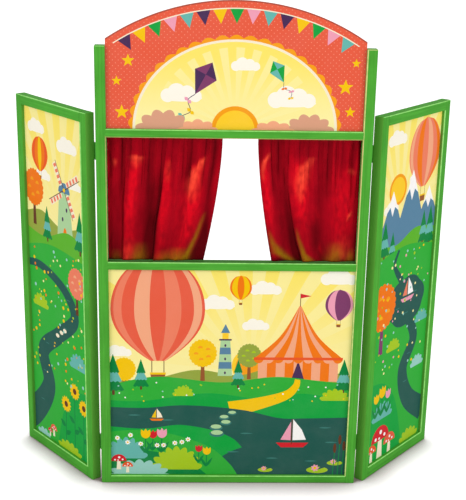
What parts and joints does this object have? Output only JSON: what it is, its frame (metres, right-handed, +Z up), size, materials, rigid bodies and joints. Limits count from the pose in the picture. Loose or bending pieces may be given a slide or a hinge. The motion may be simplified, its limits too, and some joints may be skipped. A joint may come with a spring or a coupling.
{
  "type": "puppet theater stand",
  "caption": "Free-standing folding puppet theatre: arched header board, window with drawn satin curtains, front board, and a framed wing hinged at each side.",
  "frame": {"origin": "on the floor, under the middle of the centre frame's bottom rail, half way through the laths' depth", "axes": "+X to the audience's right along the centre frame, +Y away from the audience to the puppeteer's side, +Z up"},
  "size_m": [0.9867, 0.2456, 1.095],
  "materials": {
    "lath_paint": "planed softwood laths under a satin leaf-green enamel, arrises rubbed a little paler",
    "hinge_paint": "butt hinges in folded steel, painted over with the frame's green",
    "bare_steel": "bright zinc-plated steel",
    "printed_board": "thin hardwood plywood, faced with a satin printed scene and sealed plain on the back",
    "satin": "crimson polyester satin with a soft sheen"
  },
  "bodies": {
    "centre_frame": {"centre_left_stile": "lath_paint", "centre_right_stile": "lath_paint", "bottom_rail": "lath_paint", "sill_rail": "lath_paint", "head_rail": "lath_paint", "front_board": "printed_board", "header_board": "printed_board", "curtain_rod": "bare_steel", "left_upper_hinge_frame_leaf": "hinge_paint", "left_upper_hinge_pin": "hinge_paint", "left_upper_hinge_frame_screw_low": "bare_steel", "left_upper_hinge_frame_screw_high": "bare_steel", "left_lower_hinge_frame_leaf": "hinge_paint", "left_lower_hinge_pin": "hinge_paint", "left_lower_hinge_frame_screw_low": "bare_steel", "left_lower_hinge_frame_screw_high": "bare_steel", "right_upper_hinge_frame_leaf": "hinge_paint", "right_upper_hinge_pin": "hinge_paint", "right_upper_hinge_frame_screw_low": "bare_steel", "right_upper_hinge_frame_screw_high": "bare_steel", "right_lower_hinge_frame_leaf": "hinge_paint", "right_lower_hinge_pin": "hinge_paint", "right_lower_hinge_frame_screw_low": "bare_steel", "right_lower_hinge_frame_screw_high": "bare_steel"},
    "left_wing": {"left_wing_inner_stile": "lath_paint", "left_wing_outer_stile": "lath_paint", "left_wing_bottom_rail": "lath_paint", "left_wing_top_rail": "lath_paint", "left_wing_board": "printed_board", "left_upper_hinge_wing_leaf": "hinge_paint", "left_upper_hinge_wing_screw_low": "bare_steel", "left_upper_hinge_wing_screw_high": "bare_steel", "left_lower_hinge_wing_leaf": "hinge_paint", "left_lower_hinge_wing_screw_low": "bare_steel", "left_lower_hinge_wing_screw_high": "bare_steel"},
    "right_wing": {"right_wing_inner_stile": "lath_paint", "right_wing_outer_stile": "lath_paint", "right_wing_bottom_rail": "lath_paint", "right_wing_top_rail": "lath_paint", "right_wing_board": "printed_board", "right_upper_hinge_wing_leaf": "hinge_paint", "right_upper_hinge_wing_screw_low": "bare_steel", "right_upper_hinge_wing_screw_high": "bare_steel", "right_lower_hinge_wing_leaf": "hinge_paint", "right_lower_hinge_wing_screw_low": "bare_steel", "right_lower_hinge_wing_screw_high": "bare_steel"},
    "left_curtain": {"left_curtain": "satin"},
    "right_curtain": {"right_curtain": "satin"}
  },
  "joints": [
    {"name": "left_wing_hinge", "type": "hinge", "parent": "centre_frame", "child": "left_wing", "pos_m": [-0.292, 0.0146, 0.4], "axis": [0, 0, -1], "range_deg": [-54.8, 128.7]},
    {"name": "right_wing_hinge", "type": "hinge", "parent": "centre_frame", "child": "right_wing", "pos_m": [0.292, 0.0146, 0.4], "axis": [0, 0, 1], "range_deg": [-52.5, 131]},
    {"name": "left_curtain_slide", "type": "slide", "parent": "centre_frame", "child": "left_curtain", "axis": [1, 0, 0], "range_m": [0, 0.024]},
    {"name": "right_curtain_slide", "type": "slide", "parent": "centre_frame", "child": "right_curtain", "axis": [-1, 0, 0], "range_m": [0, 0.049]}
  ]
}
